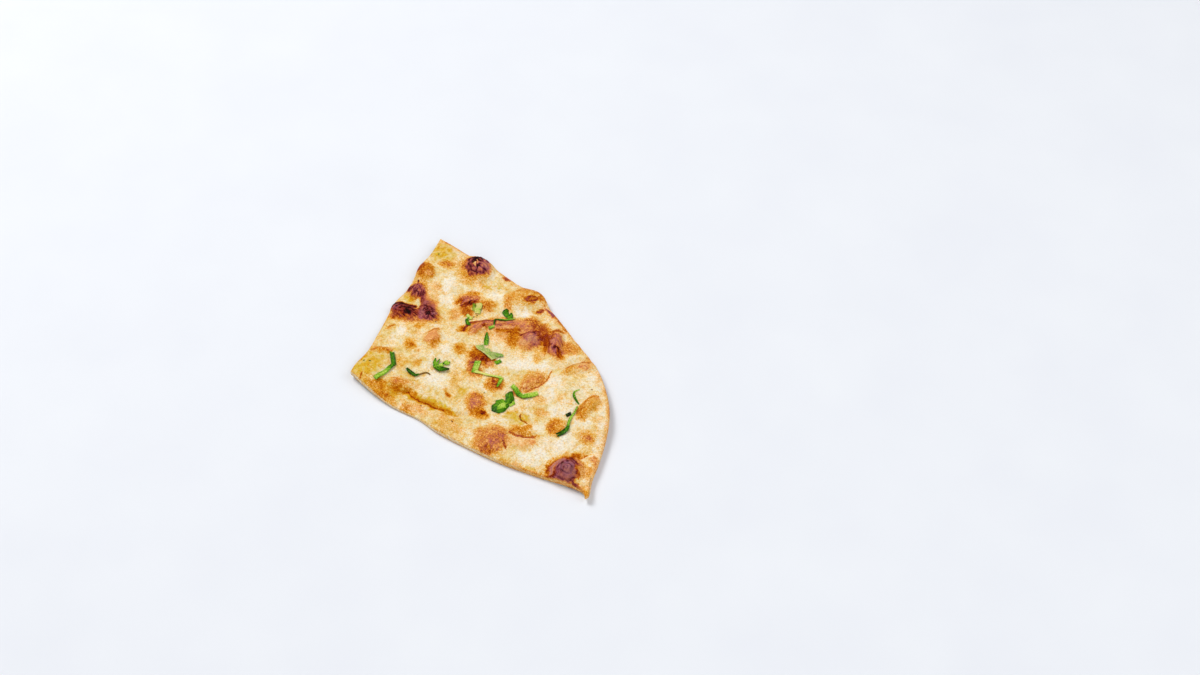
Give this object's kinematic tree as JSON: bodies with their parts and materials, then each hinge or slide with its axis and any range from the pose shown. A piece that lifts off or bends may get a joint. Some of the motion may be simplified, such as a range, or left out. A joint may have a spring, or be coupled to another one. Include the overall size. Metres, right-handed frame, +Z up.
{
  "type": "naan bread wedge",
  "caption": "Quarter wedge cut from an oval naan, blistered and charred on top, with chopped coriander scattered over it.",
  "frame": {"origin": "on the table, under the middle of the wedge's box", "axes": "+X along the long cut, from the middle of the bread towards its rim; +Z up, out of the blistered face"},
  "size_m": [0.1618, 0.1064, 0.0099],
  "materials": {
    "bread_crust": "baked dough, cream with golden to charred blisters, lightly buttered",
    "coriander_leaf": "fresh green leaf, faint sheen",
    "coriander_stem": "light green stalk, faint sheen",
    "coriander_pale": "pale underside of a leaf, matt"
  },
  "bodies": {
    "root": {"bread": "bread_crust", "coriander_bent_strip": "coriander_leaf", "coriander_curl": "coriander_leaf", "coriander_cluster": "coriander_leaf", "coriander_sprig": "coriander_leaf", "coriander_dry_flake": "coriander_pale", "coriander_upper_leaf": "coriander_leaf", "coriander_bit": "coriander_leaf", "coriander_blade": "coriander_leaf", "coriander_folded_leaf": "coriander_pale", "coriander_scrap": "coriander_leaf", "coriander_hooked_strip": "coriander_stem", "coriander_big_leaf": "coriander_leaf", "coriander_wavy_strip": "coriander_stem", "coriander_thin_stem": "coriander_stem", "coriander_dark_bit": "coriander_leaf", "coriander_leafy_stem": "coriander_stem"}
  },
  "joints": []
}
